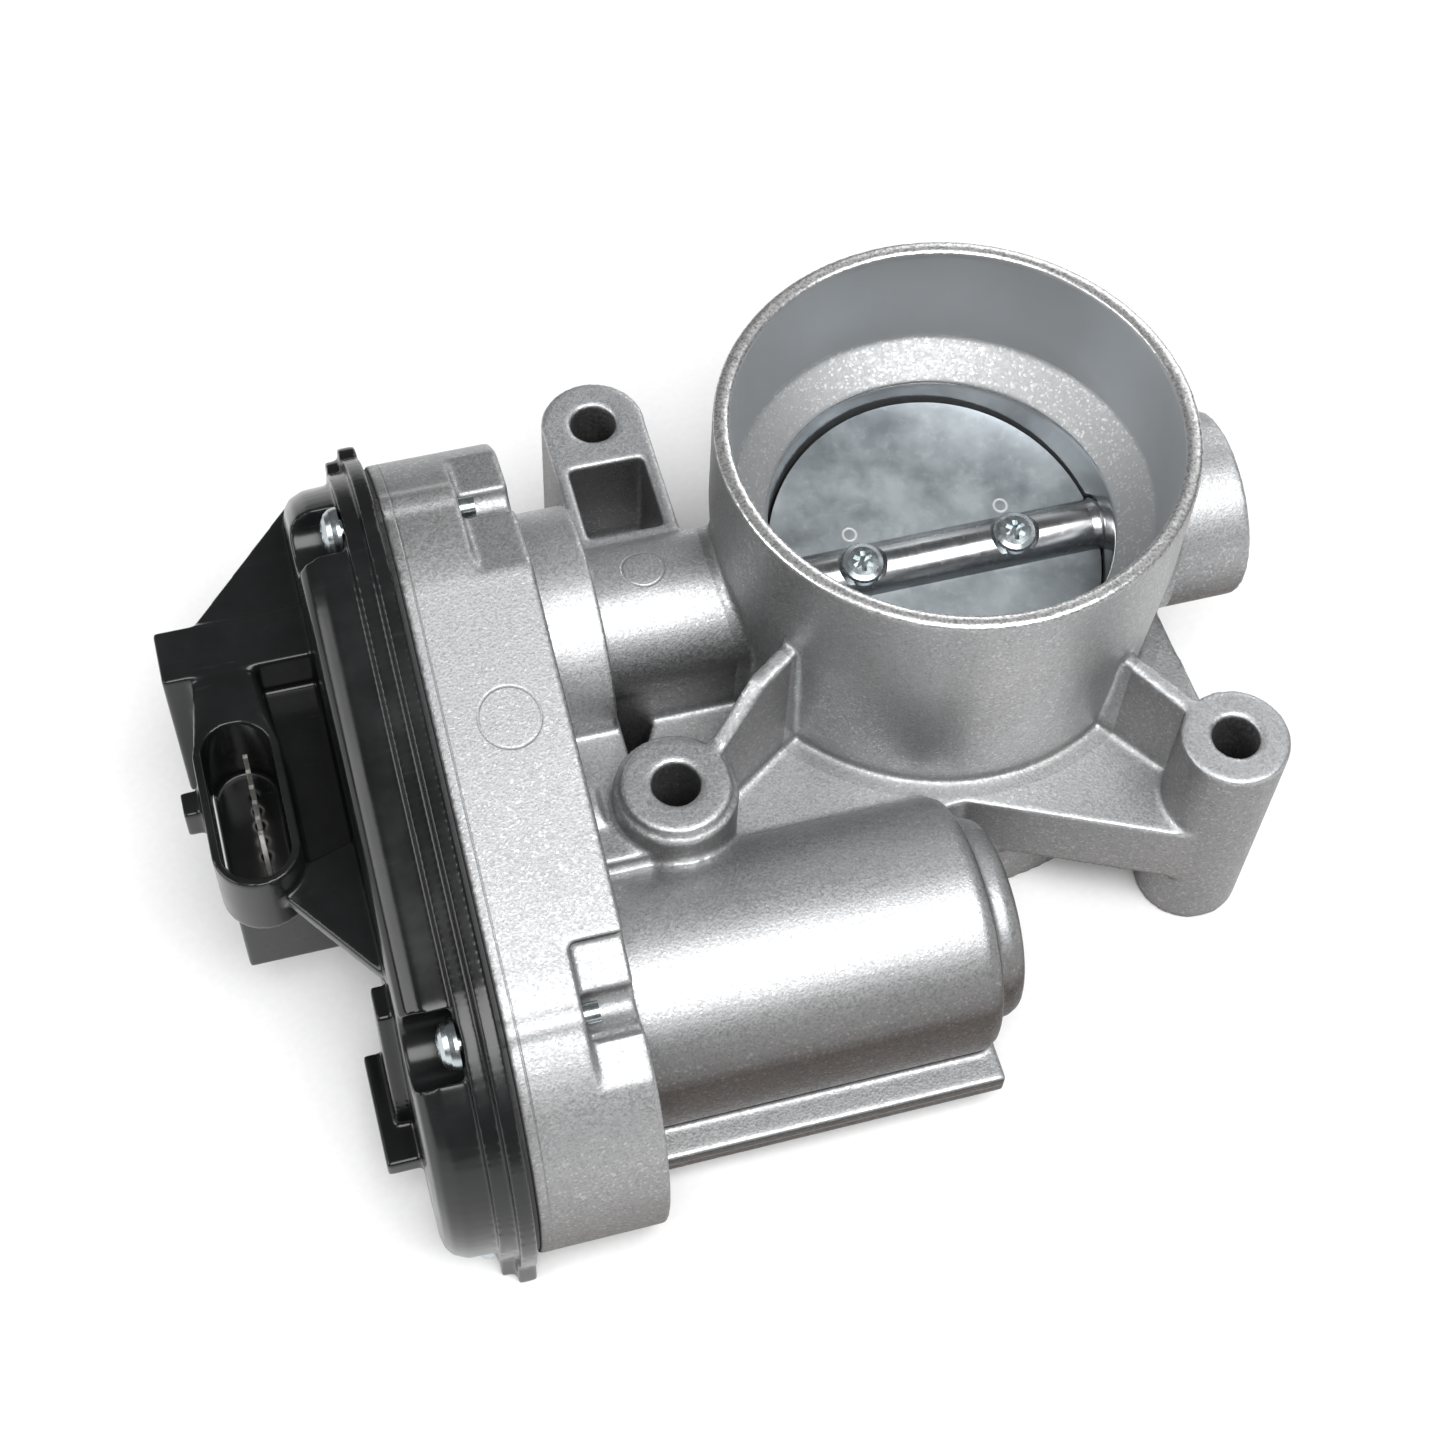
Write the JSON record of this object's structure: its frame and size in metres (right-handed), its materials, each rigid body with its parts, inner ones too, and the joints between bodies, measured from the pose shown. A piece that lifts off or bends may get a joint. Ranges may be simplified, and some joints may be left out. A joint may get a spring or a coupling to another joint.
{
  "type": "electronic throttle body",
  "caption": "Motor-driven throttle body with an intake hose spigot, a sprung throttle plate on a shaft, a geared drive in a side case and a plastic cover with a connector.",
  "frame": {"origin": "centre of the bore on the face that bolts to the engine", "axes": "+Z along the bore from the engine face to the intake hose, X along the throttle shaft with the gear case towards -X, -Y towards the motor"},
  "size_m": [0.1624, 0.127, 0.0667],
  "materials": {
    "cast_aluminium": "bead-blasted die casting",
    "black_plastic": "glossy moulded",
    "seal_rubber": "matte",
    "zinc_steel": "zinc plated",
    "ground_steel": "ground",
    "plate_metal": "brushed",
    "gear_plastic": "matte moulded",
    "dark_magnet": "sintered",
    "copper": "bright",
    "brass": "bright",
    "board": "solder resist",
    "carbon": "matte"
  },
  "bodies": {
    "body": {"throttle_housing": "cast_aluminium", "gear_cover": "black_plastic", "cover_gasket": "seal_rubber", "cover_screws": "zinc_steel", "gear_side_bearing": "ground_steel", "free_end_bearing": "ground_steel", "shaft_seal": "seal_rubber", "shaft_end_plug": "plate_metal", "return_spring": "ground_steel", "intermediate_gear_pin": "ground_steel", "motor_can": "zinc_steel", "motor_magnets": "dark_magnet", "motor_front_bush": "brass", "motor_rear_bush": "brass", "motor_cushion": "seal_rubber", "motor_front_plate": "zinc_steel", "motor_brush_holder": "black_plastic", "motor_brushes": "carbon", "motor_terminals": "brass", "motor_screws": "zinc_steel", "motor_contacts": "brass", "sensor_board": "board", "sensor_chip": "black_plastic", "connector_pins": "brass"},
    "throttle": {"throttle_shaft": "ground_steel", "throttle_plate": "plate_metal", "plate_screws": "zinc_steel", "throttle_gear": "gear_plastic", "gear_insert": "ground_steel", "sensor_magnet": "dark_magnet", "spring_guide": "gear_plastic"},
    "idler": {"intermediate_gear": "gear_plastic"},
    "rotor": {"motor_armature": "ground_steel", "motor_windings": "copper", "motor_commutator": "copper", "motor_shaft": "ground_steel", "motor_pinion": "brass"}
  },
  "joints": [
    {"name": "throttle_hinge", "type": "hinge", "parent": "body", "child": "throttle", "pos_m": [0, 0, 0.034], "axis": [1, 0, 0], "range_deg": [-5, 77], "stiffness_Nm_per_rad": 0.04, "deforming": ["return_spring"]},
    {"name": "idler_hinge", "type": "hinge", "parent": "body", "child": "idler", "pos_m": [-0.073, -0.03063, 0.0292], "axis": [1, 0, 0], "range_deg": [-322, 22]},
    {"name": "motor_hinge", "type": "hinge", "parent": "body", "child": "rotor", "pos_m": [-0.04, -0.053, 0.0185], "axis": [1, 0, 0], "range_deg": [-80, 1212]}
  ],
  "couplings": [
    {"joint": "idler_hinge", "follows": "throttle_hinge", "ratio": -4.1667},
    {"joint": "motor_hinge", "follows": "throttle_hinge", "ratio": 15.705}
  ]
}
